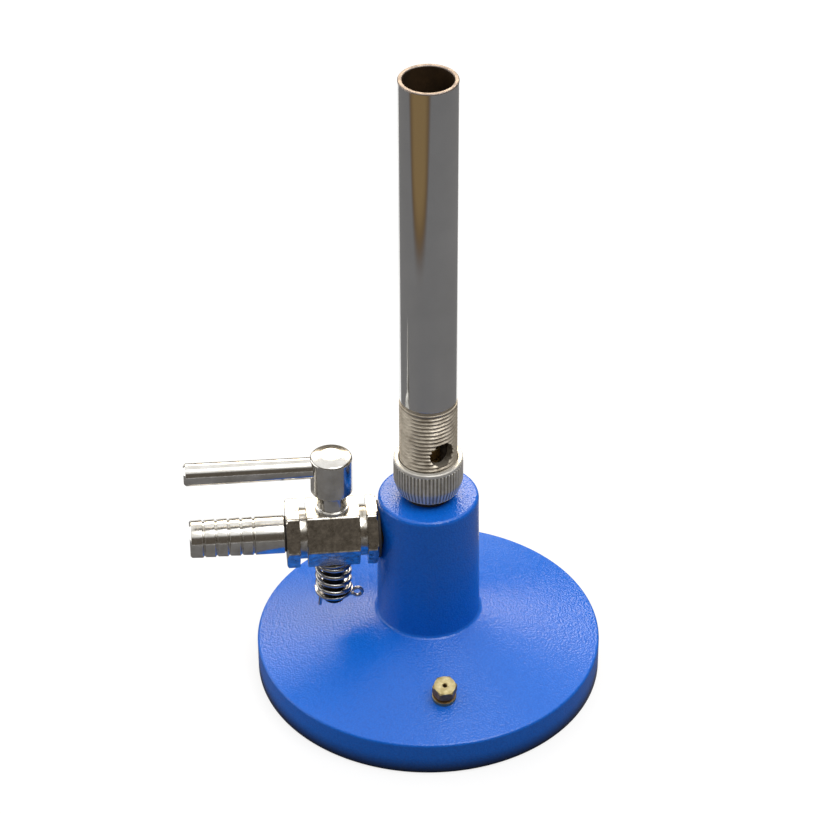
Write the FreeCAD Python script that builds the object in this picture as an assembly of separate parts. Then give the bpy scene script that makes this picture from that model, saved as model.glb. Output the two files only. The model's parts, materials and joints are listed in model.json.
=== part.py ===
"""Bench gas burner with a spring-loaded plug cock, modelled as its separate pieces.

Millimetres. +Z is up, the bench is the plane Z = 0, and the origin is under the middle of the barrel.
The gas cock leaves the column towards -X. The cock is open, with its lever along the hose nozzle.
"""

import FreeCAD, Part
import math
import os

V = FreeCAD.Vector
X_AXIS = V(1, 0, 0)
Y_AXIS = V(0, 1, 0)
Z_AXIS = V(0, 0, 1)

# Cast base: a coned disc with a column on it, standing on a rim and a middle pad
base_radius = 40.0
base_edge_height = 8.4
base_cone_slope_degrees = 16.1
base_edge_round = 0.7
base_bottom_chamfer = 0.5
base_rim_width = 6.0
base_pad_overhang = 2.0
base_relief_depth = 2.0
column_top_radius = 11.5
column_taper_per_mm = 0.012
column_above_valve = 9.4
column_foot_fillet = 1.0
column_top_round = 0.6

# Clearances
thread_clearance = 0.05
plug_clearance = 0.04
slip_clearance = 0.06
collar_clearance = 0.10

# Barrel, and the sleeve spigot inside its foot
barrel_radius = 6.5
barrel_wall = 1.0
barrel_length = 81.1
barrel_mouth_round = 0.3
sleeve_spigot_wall = 0.9
sleeve_spigot_length = 6.0

# Jet stem that screws into the column and carries the jet and the sleeve
stem_thread_step = 0.5
stem_thread_length = 5.0
stem_neck_step = 0.9
stem_neck_height = 2.5
stem_top_length = 6.0
stem_washer_thickness = 0.6

# Brass jet, the same in the stem and stowed in the base
jet_spigot_radius = 1.9
jet_spigot_length = 3.6
jet_flange_step = 0.85
jet_flange_thickness = 1.1
jet_groove_width = 0.9
jet_hex_across_flats = 5.0
jet_hex_height = 2.6
jet_hex_chamfer = 0.3
jet_wall = 0.8
jet_roof = 1.2
jet_orifice_radius = 0.45
spare_jet_place_share = 0.553
spare_jet_place_angle = -87.8

# Air regulator: a knurled collar on the sleeve's thread, with a friction ring in its bore
collar_wall = 1.25
collar_height = 8.6
collar_overhang = 1.1
collar_band_height = 0.95
collar_band_step = 0.1
collar_top_chamfer = 0.2
collar_countersink = 0.15
collar_skirt_height = 2.8
collar_skirt_inset = 0.9
knurl_count = 56
knurl_depth = 0.3
friction_ring_width = 1.8
friction_ring_thickness = 0.6

# Threaded mixing sleeve with its air holes just above the collar
sleeve_thread_step = 0.05
sleeve_thread_depth = 0.5
sleeve_thread_pitch = 1.0
sleeve_thread_above_holes = 8.4
sleeve_crest_share = 0.25
sleeve_root_share = 0.2
sleeve_land_step = 0.2
sleeve_land_height = 0.8
air_hole_radius = 3.0
air_hole_gap = 1.1
air_hole_angle = -64.0

# Cock body, turned from hexagon bar
hex_across_flats = 14.0
block_length = 11.85
groove_length = 1.8
groove_depth = 1.1
inlet_flange_length = 2.35
hose_flange_length = 2.95
hex_end_chamfer = 0.35
inlet_thread_radius = 4.75
inlet_end_wall = 1.2
inlet_seat_depth = 0.4
inlet_seat_margin = 0.4
inlet_washer_thickness = 0.65
gas_passage_radius = 2.1

# Hose nozzle
nozzle_radius = 4.4
nozzle_shoulder = 0.8
nozzle_wall = 1.0
nozzle_length = 21.5
nozzle_washer_thickness = 0.4
nozzle_washer_inset = 0.3
nozzle_hole_margin = 0.35
nozzle_tip_chamfer = 0.4
barb_count = 5
barb_pitch = 2.85
barb_groove_width = 0.7
barb_groove_depth = 0.45
barb_tip_length = 3.2
barb_ramp = 0.1

# Taper plug and lever
plug_top_radius = 3.9
plug_taper_per_mm = 0.05
plug_end_inset = 0.5
plug_collar_height = 0.8
plug_neck_step = 0.5
plug_neck_height = 4.9
plug_head_step = 0.9
plug_head_height = 9.4
plug_head_crown = 0.7
plug_head_round = 0.7
plug_head_underside_chamfer = 0.4
lever_below_head_top = 2.9
lever_root_radius = 2.5
lever_swell = 0.1
lever_length = 33.2
lever_end_chamfer = 0.5
lever_spigot_step = 0.45
lever_spigot_length = 3.4

# Spring, washers and split pin on the plug's tail
tail_radius = 2.5
tail_end_margin = 0.5
tail_end_chamfer = 0.3
tail_above_base = 6.83
seat_washer_thickness = 0.5
seat_washer_gap = 0.1
tail_washer_thickness = 0.7
washer_rim = 0.15
spring_wire_radius = 0.55
spring_tail_gap = 0.65
spring_turns = 3.5
spring_start_degrees = 180.0
spring_open_gap = 1.14
spring_end_gap = 1.05
spring_touch_gap = 0.02
pin_wire_radius = 0.42
pin_leg_gap = 0.16
pin_eye_radius = 1.1
pin_eye_overhang = 2.95
pin_eye_neck_radius = 0.7
pin_bend_gap = 0.1
pin_upper_bend_radius = 0.9
pin_upper_bend_degrees = 70.0
pin_upper_end_length = 1.8
pin_lower_bend_radius = 0.5
pin_lower_bend_degrees = 85.0
pin_lower_end_length = 2.2
pin_touch_gap = 0.08

# Radii that follow from each other
barrel_bore_radius = barrel_radius - barrel_wall
sleeve_spigot_radius = barrel_bore_radius - thread_clearance
sleeve_bore_radius = sleeve_spigot_radius - sleeve_spigot_wall
sleeve_thread_radius = barrel_radius + sleeve_thread_step
sleeve_land_radius = barrel_radius - sleeve_land_step
collar_bore_radius = sleeve_thread_radius + collar_clearance
collar_radius = collar_bore_radius + collar_wall
stem_top_radius = sleeve_bore_radius - thread_clearance
stem_neck_radius = stem_top_radius + stem_neck_step
stem_thread_radius = stem_top_radius - stem_thread_step
stem_bore_radius = jet_spigot_radius + thread_clearance
jet_flange_radius = jet_spigot_radius + jet_flange_step
jet_bore_radius = jet_spigot_radius - jet_wall
hex_half = hex_across_flats / 2
hex_corner = hex_across_flats / math.sqrt(3)
groove_radius = hex_half - groove_depth
inlet_seat_radius = hex_half - inlet_seat_margin
inlet_washer_radius = inlet_seat_radius - slip_clearance
nozzle_thread_radius = nozzle_radius - nozzle_shoulder
nozzle_bore_radius = nozzle_thread_radius - nozzle_wall
plug_neck_radius = plug_top_radius - plug_neck_step
plug_head_radius = plug_top_radius + plug_head_step
lever_end_radius = lever_root_radius + lever_swell
lever_spigot_radius = lever_root_radius - lever_spigot_step
spring_mean_radius = tail_radius + spring_tail_gap + spring_wire_radius
washer_radius = spring_mean_radius + spring_wire_radius + washer_rim
pin_eye_reach = tail_radius + pin_eye_overhang
pin_leg_offset = pin_wire_radius + pin_leg_gap / 2
pin_half_height = pin_leg_offset + pin_wire_radius

# Places along the cock, measured out from the barrel's axis
inlet_seat_x = column_top_radius + column_taper_per_mm * column_above_valve - inlet_seat_depth
inlet_end_x = stem_thread_radius + inlet_end_wall
inlet_face_x = inlet_seat_x + inlet_washer_thickness
block_inner_x = inlet_face_x + inlet_flange_length + groove_length
block_outer_x = block_inner_x + block_length
hose_face_x = block_outer_x + groove_length + hose_flange_length
nozzle_shoulder_x = hose_face_x + nozzle_washer_thickness
nozzle_root_x = block_outer_x + nozzle_hole_margin
nozzle_tip_x = nozzle_shoulder_x + nozzle_length
plug_x = block_inner_x + block_length / 2

# Heights from the base's cone up the plug's tail to the cock and the top of the column
base_cone_rise_per_mm = math.tan(math.radians(base_cone_slope_degrees))
spring_end_pitch = 2 * spring_wire_radius + spring_end_gap
spring_open_pitch = 2 * spring_wire_radius + spring_open_gap
spring_wire_drop = 2 * spring_end_pitch + (spring_turns - 2) * spring_open_pitch
tail_end_z = base_edge_height + (base_radius - plug_x) * base_cone_rise_per_mm + tail_above_base
pin_z = tail_end_z + tail_end_margin + pin_half_height
tail_washer_z = pin_z + pin_half_height + pin_touch_gap
spring_bottom_z = tail_washer_z + tail_washer_thickness + spring_touch_gap + spring_wire_radius
spring_top_z = spring_bottom_z + spring_wire_drop
seat_washer_z = spring_top_z + spring_wire_radius + spring_touch_gap
block_bottom_z = seat_washer_z + seat_washer_thickness + seat_washer_gap
valve_axis_z = block_bottom_z + hex_half
block_top_z = valve_axis_z + hex_half
plug_head_z = block_top_z + plug_neck_height
lever_z = plug_head_z + plug_head_height - lever_below_head_top
column_top_z = valve_axis_z + column_above_valve

# Heights up the burner
stem_seat_z = column_top_z + stem_washer_thickness
sleeve_bottom_z = stem_seat_z + stem_neck_height
stem_top_z = sleeve_bottom_z + stem_top_length
collar_bottom_z = sleeve_bottom_z - collar_overhang
collar_top_z = collar_bottom_z + collar_height
air_hole_z = collar_top_z + air_hole_gap + air_hole_radius
sleeve_thread_length = air_hole_z + air_hole_radius + sleeve_thread_above_holes - sleeve_bottom_z
sleeve_thread_turns = round(sleeve_thread_length / sleeve_thread_pitch)
sleeve_thread_top_z = sleeve_bottom_z + sleeve_thread_turns * sleeve_thread_pitch
barrel_bottom_z = sleeve_thread_top_z + sleeve_land_height
barrel_top_z = barrel_bottom_z + barrel_length

# Where the column's side meets the base's cone, and the spare jet's place on the cone
column_foot_z = (
    base_edge_height
    + (base_radius - column_top_radius - column_taper_per_mm * column_top_z) * base_cone_rise_per_mm
) / (1 - column_taper_per_mm * base_cone_rise_per_mm)
column_foot_radius = column_top_radius + column_taper_per_mm * (column_top_z - column_foot_z)
spare_jet_radius = column_foot_radius + spare_jet_place_share * (base_radius - column_foot_radius)
spare_jet_z = base_edge_height + (base_radius - spare_jet_radius) * base_cone_rise_per_mm


def rounded_outline(corners):
    """A closed wire in the XZ plane through (radius, height, corner round) corners."""
    edges = []
    starts = []
    ends = []
    count = len(corners)
    for i, (radius, height, rounding) in enumerate(corners):
        here = V(radius, 0, height)
        if rounding <= 0:
            starts.append(here)
            ends.append(here)
            continue
        after = corners[(i + 1) % count]
        to_before = (V(corners[i - 1][0], 0, corners[i - 1][1]) - here).normalize()
        to_after = (V(after[0], 0, after[1]) - here).normalize()
        half_angle = to_before.getAngle(to_after) / 2
        reach = rounding / math.tan(half_angle)
        bisector = (to_before + to_after).normalize()
        arc_middle = here + bisector * (rounding / math.sin(half_angle) - rounding)
        starts.append(here + to_before * reach)
        ends.append(here + to_after * reach)
        edges.append(Part.Arc(starts[i], arc_middle, ends[i]).toShape())
    for i in range(count):
        if ends[i - 1].distanceToPoint(starts[i]) > 1e-6:
            edges.append(Part.LineSegment(ends[i - 1], starts[i]).toShape())
    return Part.Wire(Part.__sortEdges__(edges))


def turned(corners):
    """The solid that an outline of (radius, height) corners, some with a round, sweeps about the Z axis."""
    full = [corner if len(corner) == 3 else (*corner, 0) for corner in corners]
    return Part.Face(rounded_outline(full)).revolve(V(0, 0, 0), Z_AXIS, 360)


def ring(inner, outer, bottom, height):
    """A plain flat ring about the Z axis."""
    top = bottom + height
    return turned([(inner, bottom), (outer, bottom), (outer, top), (inner, top)])


def corner_angles(count, first_degrees):
    """Evenly spaced angles in radians, once round."""
    return [math.radians(first_degrees + 360 * i / count) for i in range(count)]


def hexagon_bar(across_flats, bottom, height, chamfer):
    """A hexagon prism up +Z with its corners turned off at both ends. A flat faces +X."""
    corner = across_flats / math.sqrt(3)
    top = bottom + height
    points = [V(corner * math.cos(a), corner * math.sin(a), bottom) for a in corner_angles(6, 30)]
    prism = Part.Face(Part.makePolygon(points + points[:1])).extrude(Z_AXIS * height)
    envelope = turned([
        (0, bottom),
        (corner - chamfer, bottom),
        (corner, bottom + chamfer),
        (corner, top - chamfer),
        (corner - chamfer, top),
        (0, top),
    ])
    return prism.common(envelope)


def laid_along_valve(solid):
    """Lays a piece built up +Z along the cock's axis, so that its heights become distances out along -X."""
    solid.rotate(V(0, 0, 0), Y_AXIS, -90)
    solid.translate(V(0, 0, valve_axis_z))
    return solid


def on_plug_axis(solid):
    """Moves a piece built about the Z axis onto the plug's axis."""
    solid.translate(V(-plug_x, 0, 0))
    return solid


def on_base_cone(solid):
    """Seats a piece built up +Z on the base's cone, square to it, at the spare jet's place."""
    solid.rotate(V(0, 0, 0), Y_AXIS, base_cone_slope_degrees)
    solid.translate(V(spare_jet_radius, 0, spare_jet_z))
    solid.rotate(V(0, 0, 0), Z_AXIS, spare_jet_place_angle)
    return solid


def base_casting():
    """The base: disc, cone and column in one casting, drilled for gas and tapped for what screws into it."""
    pad_radius = column_foot_radius + base_pad_overhang
    rim_inner_radius = base_radius - base_rim_width
    casting = turned([
        (0, 0),
        (pad_radius, 0),
        (pad_radius, base_relief_depth),
        (rim_inner_radius, base_relief_depth),
        (rim_inner_radius, 0),
        (base_radius - base_bottom_chamfer, 0),
        (base_radius, base_bottom_chamfer),
        (base_radius, base_edge_height, base_edge_round),
        (column_foot_radius, column_foot_z, column_foot_fillet),
        (column_top_radius, column_top_z, column_top_round),
        (0, column_top_z),
    ])
    stem_hole_depth = stem_thread_length + stem_washer_thickness
    stem_hole = Part.makeCylinder(
        stem_thread_radius + thread_clearance, stem_hole_depth, V(0, 0, column_top_z - stem_hole_depth))
    gas_rise = Part.makeCylinder(gas_passage_radius, column_above_valve, V(0, 0, valve_axis_z))
    gas_cross = laid_along_valve(Part.makeCylinder(gas_passage_radius, inlet_seat_x))
    inlet_hole = laid_along_valve(Part.makeCylinder(
        inlet_thread_radius + thread_clearance, inlet_seat_x - inlet_end_x, V(0, 0, inlet_end_x)))
    spot_face = laid_along_valve(Part.makeCylinder(
        inlet_seat_radius, column_foot_radius, V(0, 0, inlet_seat_x)))
    spare_jet_hole = on_base_cone(Part.makeCylinder(
        jet_spigot_radius + thread_clearance, jet_spigot_length + jet_flange_thickness,
        V(0, 0, -jet_spigot_length - thread_clearance)))
    return casting.cut([stem_hole, gas_rise, gas_cross, inlet_hole, spot_face, spare_jet_hole])


def jet_stem():
    """Nickelled stem: a thread down into the column, a neck, and a top that the sleeve screws onto."""
    return turned([
        (stem_bore_radius, column_top_z - stem_thread_length),
        (stem_thread_radius, column_top_z - stem_thread_length),
        (stem_thread_radius, stem_seat_z),
        (stem_neck_radius, stem_seat_z),
        (stem_neck_radius, sleeve_bottom_z),
        (stem_top_radius, sleeve_bottom_z),
        (stem_top_radius, stem_top_z),
        (stem_bore_radius, stem_top_z),
    ])


def stem_washer():
    """Fibre washer between the stem's neck and the top of the column."""
    return ring(stem_thread_radius + slip_clearance, stem_neck_radius, column_top_z, stem_washer_thickness)


def jet():
    """Brass jet standing on Z = 0: a spigot below, flange, groove and hexagon above, and an orifice."""
    groove_top_z = jet_flange_thickness + jet_groove_width
    top_z = groove_top_z + jet_hex_height
    lower = turned([
        (0, -jet_spigot_length),
        (jet_spigot_radius, -jet_spigot_length),
        (jet_spigot_radius, 0),
        (jet_flange_radius, 0),
        (jet_flange_radius, jet_flange_thickness),
        (jet_spigot_radius, jet_flange_thickness),
        (jet_spigot_radius, groove_top_z),
        (0, groove_top_z),
    ])
    head = hexagon_bar(jet_hex_across_flats, groove_top_z, jet_hex_height, jet_hex_chamfer)
    roof_z = top_z - jet_roof
    bore = Part.makeCylinder(jet_bore_radius, roof_z + jet_spigot_length, V(0, 0, -jet_spigot_length))
    orifice = Part.makeCylinder(jet_orifice_radius, jet_roof, V(0, 0, roof_z))
    return lower.fuse(head).removeSplitter().cut([bore, orifice])


def gas_jet():
    """The jet at work in the top of the stem."""
    piece = jet()
    piece.translate(V(0, 0, stem_top_z))
    return piece


def spare_jet():
    """The second jet, stowed in the tapped hole in the base."""
    return on_base_cone(jet())


def thread_corners():
    """Outline of the sleeve's thread from its bottom up: flank, flat root, flank and flat crest."""
    root_radius = sleeve_thread_radius - sleeve_thread_depth
    flank_share = (1 - sleeve_crest_share - sleeve_root_share) / 2
    corners = []
    for turn in range(sleeve_thread_turns):
        crest_z = sleeve_bottom_z + turn * sleeve_thread_pitch
        root_z = crest_z + flank_share * sleeve_thread_pitch
        root_end_z = root_z + sleeve_root_share * sleeve_thread_pitch
        flank_end_z = root_end_z + flank_share * sleeve_thread_pitch
        corners.append((sleeve_thread_radius, crest_z))
        corners.append((root_radius, root_z))
        corners.append((root_radius, root_end_z))
        corners.append((sleeve_thread_radius, flank_end_z))
    return corners


def mixing_sleeve():
    """Nickelled sleeve: an outside thread, two air holes, and a spigot on top that holds the barrel."""
    spigot_top_z = barrel_bottom_z + sleeve_spigot_length
    sleeve = turned([
        (sleeve_bore_radius, sleeve_bottom_z),
        *thread_corners(),
        (sleeve_thread_radius, sleeve_thread_top_z),
        (sleeve_land_radius, sleeve_thread_top_z),
        (sleeve_land_radius, barrel_bottom_z),
        (sleeve_spigot_radius, barrel_bottom_z),
        (sleeve_spigot_radius, spigot_top_z),
        (sleeve_bore_radius, spigot_top_z),
    ])
    reach = 2 * sleeve_thread_radius
    angle = math.radians(air_hole_angle)
    across = V(math.cos(angle), math.sin(angle), 0)
    start = V(0, 0, air_hole_z) - across * reach
    return sleeve.cut(Part.makeCylinder(air_hole_radius, 2 * reach, start, across))


def barrel_tube():
    """The plain plated tube, with its mouth's edges just broken."""
    return turned([
        (barrel_bore_radius, barrel_bottom_z),
        (barrel_radius, barrel_bottom_z),
        (barrel_radius, barrel_top_z, barrel_mouth_round),
        (barrel_bore_radius, barrel_top_z, barrel_mouth_round),
    ])


def air_regulator():
    """Straight-knurled collar with a plain band on top, a conical skirt and a groove for its friction ring."""
    band_z = collar_top_z - collar_band_height
    points = []
    for i, angle in enumerate(corner_angles(2 * knurl_count, 0)):
        radius = collar_radius - knurl_depth * (i % 2)
        points.append(V(radius * math.cos(angle), radius * math.sin(angle), collar_bottom_z))
    knurled = Part.Face(Part.makePolygon(points + points[:1])).extrude(Z_AXIS * (band_z - collar_bottom_z))
    groove_radius_inside = collar_bore_radius + friction_ring_thickness
    groove_bottom_z = collar_bottom_z + (collar_height - friction_ring_width) / 2
    groove_top_z = groove_bottom_z + friction_ring_width
    envelope = turned([
        (collar_bore_radius, collar_bottom_z),
        (collar_radius - collar_skirt_inset, collar_bottom_z),
        (collar_radius, collar_bottom_z + collar_skirt_height),
        (collar_radius, band_z),
        (collar_bore_radius, band_z),
        (collar_bore_radius, groove_top_z),
        (groove_radius_inside, groove_top_z),
        (groove_radius_inside, groove_bottom_z),
        (collar_bore_radius, groove_bottom_z),
    ])
    band_radius = collar_radius - collar_band_step
    band = turned([
        (collar_bore_radius, band_z),
        (band_radius, band_z),
        (band_radius, collar_top_z - collar_top_chamfer),
        (band_radius - collar_top_chamfer, collar_top_z),
        (collar_bore_radius + collar_countersink, collar_top_z),
        (collar_bore_radius, collar_top_z - collar_countersink),
    ])
    return knurled.common(envelope).fuse(band).removeSplitter()


def regulator_friction_ring():
    """Fibre ring in the collar's bore that bears on the thread and holds the air setting."""
    outer = collar_bore_radius + friction_ring_thickness - slip_clearance
    height = friction_ring_width - 2 * slip_clearance
    return ring(collar_bore_radius, outer, collar_bottom_z + (collar_height - height) / 2, height)


def plug_radius(height):
    """Radius of the plug's taper at a height."""
    return plug_top_radius - plug_taper_per_mm * (block_top_z - height)


def valve_body():
    """Cock body: hexagon block and end flanges, grooves between, an inlet thread and a tapered bore."""
    body = hexagon_bar(hex_across_flats, inlet_face_x, hose_face_x - inlet_face_x, hex_end_chamfer)
    for groove_x in (inlet_face_x + inlet_flange_length, block_outer_x):
        body = body.cut(ring(groove_radius, 2 * hex_corner, groove_x, groove_length))
    thread = Part.makeCylinder(inlet_thread_radius, inlet_face_x - inlet_end_x, V(0, 0, inlet_end_x))
    passage = Part.makeCylinder(gas_passage_radius, hose_face_x - inlet_end_x, V(0, 0, inlet_end_x))
    nozzle_hole_x = nozzle_root_x - slip_clearance
    nozzle_hole = Part.makeCylinder(
        nozzle_thread_radius + thread_clearance, hose_face_x - nozzle_hole_x, V(0, 0, nozzle_hole_x))
    body = laid_along_valve(body.fuse(thread).removeSplitter().cut([passage, nozzle_hole]))
    plug_bore = Part.makeCone(
        plug_radius(block_bottom_z) + plug_clearance, plug_radius(block_top_z) + plug_clearance,
        hex_across_flats, V(0, 0, block_bottom_z))
    return body.cut(on_plug_axis(plug_bore))


def inlet_washer():
    """Fibre washer between the cock's inlet flange and the spot face on the column."""
    return laid_along_valve(
        ring(inlet_thread_radius + slip_clearance, inlet_washer_radius, inlet_seat_x, inlet_washer_thickness))


def nozzle_washer():
    """Thin fibre washer between the nozzle's shoulder and the cock's hose flange."""
    return laid_along_valve(ring(
        nozzle_thread_radius + slip_clearance, nozzle_radius - nozzle_washer_inset,
        hose_face_x, nozzle_washer_thickness))


def hose_nozzle():
    """Turned hose nozzle: a thread into the body, a plain length, and barbs that ramp up towards the body."""
    outline = [
        (nozzle_bore_radius, nozzle_root_x),
        (nozzle_thread_radius, nozzle_root_x),
        (nozzle_thread_radius, nozzle_shoulder_x),
        (nozzle_radius, nozzle_shoulder_x),
    ]
    first_groove_x = nozzle_tip_x - barb_tip_length - (barb_count - 1) * barb_pitch
    for barb in range(barb_count):
        groove_x = first_groove_x + barb * barb_pitch
        land_radius = nozzle_radius if barb == 0 else nozzle_radius - barb_ramp
        outline.append((land_radius, groove_x - barb_groove_width / 2))
        outline.append((nozzle_radius - barb_groove_depth, groove_x))
        outline.append((nozzle_radius, groove_x + barb_groove_width / 2))
    outline.append((nozzle_radius - barb_ramp, nozzle_tip_x - nozzle_tip_chamfer))
    outline.append((nozzle_radius - barb_ramp - nozzle_tip_chamfer, nozzle_tip_x))
    outline.append((nozzle_bore_radius, nozzle_tip_x))
    return laid_along_valve(turned(outline))


def valve_plug():
    """Taper plug with a round crowned head above, ported for gas, and a drilled tail below."""
    taper_end_z = block_bottom_z + plug_end_inset
    taper_top_z = block_top_z + plug_collar_height
    head_top_z = plug_head_z + plug_head_height
    plug = turned([
        (0, tail_end_z),
        (tail_radius - tail_end_chamfer, tail_end_z),
        (tail_radius, tail_end_z + tail_end_chamfer),
        (tail_radius, taper_end_z),
        (plug_radius(taper_end_z), taper_end_z),
        (plug_radius(taper_top_z), taper_top_z),
        (plug_neck_radius, taper_top_z),
        (plug_neck_radius, plug_head_z),
        (plug_head_radius - plug_head_underside_chamfer, plug_head_z),
        (plug_head_radius, plug_head_z + plug_head_underside_chamfer),
        (plug_head_radius, head_top_z, plug_head_round),
        (0, head_top_z + plug_head_crown),
    ])
    port = Part.makeCylinder(
        gas_passage_radius, 2 * plug_head_radius, V(-plug_head_radius, 0, valve_axis_z), X_AXIS)
    lever_hole = Part.makeCylinder(
        lever_spigot_radius + slip_clearance, lever_spigot_length + slip_clearance,
        V(-plug_head_radius, 0, lever_z), X_AXIS)
    pin_hole = Part.makeCylinder(
        pin_half_height + slip_clearance, 2 * tail_radius, V(-tail_radius, 0, pin_z), X_AXIS)
    return on_plug_axis(plug.cut([port, lever_hole, pin_hole]))


def lever_rod():
    """Lever: a rod that swells to its free end, saddled to the plug's head, with a spigot driven into it."""
    spigot_end = plug_head_radius - lever_spigot_length
    saddle_start = math.sqrt(plug_head_radius ** 2 - lever_root_radius ** 2)
    rod = turned([
        (0, spigot_end),
        (lever_spigot_radius, spigot_end),
        (lever_spigot_radius, saddle_start),
        (lever_root_radius, saddle_start),
        (lever_end_radius, lever_length - lever_end_chamfer),
        (lever_end_radius - lever_end_chamfer, lever_length),
        (0, lever_length),
    ])
    rod.rotate(V(0, 0, 0), Y_AXIS, -90)
    rod.translate(V(0, 0, lever_z))
    head_room = Part.makeCylinder(
        plug_head_radius + slip_clearance, 4 * lever_end_radius, V(0, 0, lever_z - 2 * lever_end_radius))
    spigot_core = Part.makeCylinder(
        lever_spigot_radius, 2 * plug_head_radius, V(-2 * plug_head_radius, 0, lever_z), X_AXIS)
    return on_plug_axis(rod.cut(head_room.cut(spigot_core)))


def seat_washer():
    """Steel washer under the cock body that the spring pushes up against."""
    return on_plug_axis(
        ring(tail_radius + slip_clearance, washer_radius, seat_washer_z, seat_washer_thickness))


def tail_washer():
    """Steel washer that carries the spring's lower end."""
    return on_plug_axis(
        ring(tail_radius + slip_clearance, washer_radius, tail_washer_z, tail_washer_thickness))


def spring_point(turn):
    """A point on the wire's centre line after so many turns from its top end, with closer turns at both ends."""
    angle = math.radians(spring_start_degrees) + 2 * math.pi * turn
    open_turns = min(max(turn - 1, 0), spring_turns - 2)
    drop = spring_end_pitch * (turn - open_turns) + spring_open_pitch * open_turns
    return V(spring_mean_radius * math.cos(angle), spring_mean_radius * math.sin(angle), spring_top_z - drop)


def spring_direction(turn):
    """Unit direction of the wire at a point of its centre line."""
    step = 1e-4
    first = max(turn - step, 0)
    last = min(turn + step, spring_turns)
    return (spring_point(last) - spring_point(first)).normalize()


def tangent_arc(start, corner, end):
    """The arc from start to end whose two end tangents meet at corner."""
    middle = (start + end) * 0.5
    half_chord = (end - start).Length / 2
    leg = (corner - start).Length
    to_corner = corner - middle
    bulge = to_corner.Length * half_chord / (leg + half_chord)
    return Part.Arc(start, middle + to_corner.normalize() * bulge, end).toShape()


def biarc(start, start_way, end, end_way):
    """Two arcs that join start to end and keep both directions."""
    chord = end - start
    spread = 2 * (1 - start_way.dot(end_way))
    along = chord.dot(start_way + end_way)
    leg = (math.sqrt(along * along + spread * chord.dot(chord)) - along) / spread
    first_corner = start + start_way * leg
    last_corner = end - end_way * leg
    meeting = (first_corner + last_corner) * 0.5
    return [tangent_arc(start, first_corner, meeting), tangent_arc(meeting, last_corner, end)]


def plug_spring():
    """Compression spring round the plug's tail, one unbroken wire."""
    edges = []
    for quarter in range(round(4 * spring_turns)):
        first = quarter / 4
        last = (quarter + 1) / 4
        edges += biarc(spring_point(first), spring_direction(first), spring_point(last), spring_direction(last))
    profile = Part.Wire(Part.Circle(spring_point(0), spring_direction(0), spring_wire_radius).toShape())
    return on_plug_axis(Part.Wire(edges).makePipeShell([profile], True, False))


def spring_least_gap():
    """Least gap between the spring's own turns, measured on points of its wire."""
    steps_per_turn = 48
    points = [spring_point(i / steps_per_turn) for i in range(round(spring_turns * steps_per_turn) + 1)]
    half_turn = steps_per_turn // 2
    least = min(a.distanceToPoint(b) for i, a in enumerate(points) for b in points[i + half_turn:])
    return least - 2 * spring_wire_radius


def bend(start, way, turn_way, radius, degrees):
    """An arc that leaves start along way and turns towards turn_way, with its end point and end direction."""
    def at(angle):
        return start + turn_way * (radius * (1 - math.cos(angle))) + way * (radius * math.sin(angle))

    angle = math.radians(degrees)
    arc = Part.Arc(start, at(angle / 2), at(angle)).toShape()
    return arc, at(angle), way * math.cos(angle) + turn_way * math.sin(angle)


def pin_leg(side, end_turn_way, bend_radius, bend_degrees, end_length):
    """One leg of the split pin: its edges from the eye out, its eye end, its tip and the direction there."""
    leg_z = pin_z + side * pin_leg_offset
    rise = pin_leg_offset + pin_eye_neck_radius
    span = pin_eye_radius + pin_eye_neck_radius
    neck_start = V(pin_eye_reach - math.sqrt(span ** 2 - rise ** 2), 0, leg_z)
    neck_degrees = math.degrees(math.acos(rise / span))
    neck, eye_point, _ = bend(neck_start, X_AXIS, Z_AXIS * side, pin_eye_neck_radius, neck_degrees)
    bend_start = V(-tail_radius - pin_bend_gap, 0, leg_z)
    end_bend, bend_end, end_way = bend(bend_start, -X_AXIS, end_turn_way, bend_radius, bend_degrees)
    tip = bend_end + end_way * end_length
    shank = Part.LineSegment(neck_start, bend_start).toShape()
    end = Part.LineSegment(bend_end, tip).toShape()
    return [neck, shank, end_bend, end], eye_point, tip, end_way


def split_pin():
    """Split pin through the plug's tail: an eye on the column's side, legs bent back and down on the other."""
    upper, upper_eye, _, _ = pin_leg(
        1, Y_AXIS, pin_upper_bend_radius, pin_upper_bend_degrees, pin_upper_end_length)
    lower, lower_eye, tip, tip_way = pin_leg(
        -1, -Z_AXIS, pin_lower_bend_radius, pin_lower_bend_degrees, pin_lower_end_length)
    eye = Part.Arc(upper_eye, V(pin_eye_reach + pin_eye_radius, 0, pin_z), lower_eye).toShape()
    path = Part.Wire(lower[::-1] + [eye] + upper)
    profile = Part.Wire(Part.Circle(tip, tip_way, pin_wire_radius).toShape())
    return on_plug_axis(path.makePipeShell([profile], True, False))


PIECES = [
    base_casting,
    jet_stem,
    stem_washer,
    gas_jet,
    spare_jet,
    mixing_sleeve,
    barrel_tube,
    air_regulator,
    regulator_friction_ring,
    valve_body,
    inlet_washer,
    nozzle_washer,
    hose_nozzle,
    valve_plug,
    lever_rod,
    seat_washer,
    plug_spring,
    tail_washer,
    split_pin,
]


def main():
    """Builds every piece and writes it to a file of its own name."""
    os.makedirs("parts", exist_ok=True)
    for piece in PIECES:
        piece().exportStep(f"parts/{piece.__name__}.step")
    print(f"spring: least gap between turns {spring_least_gap():.2f} mm")


main()
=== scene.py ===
"""Looks of a bench gas burner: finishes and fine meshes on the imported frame, in metres."""

import json
import logging
from dataclasses import dataclass
from enum import Enum
from math import acos, cos, hypot, pi, radians, sin, sqrt, tan
from typing import Callable, Sequence

import bmesh
import bpy
from mathutils import Matrix, Vector


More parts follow.
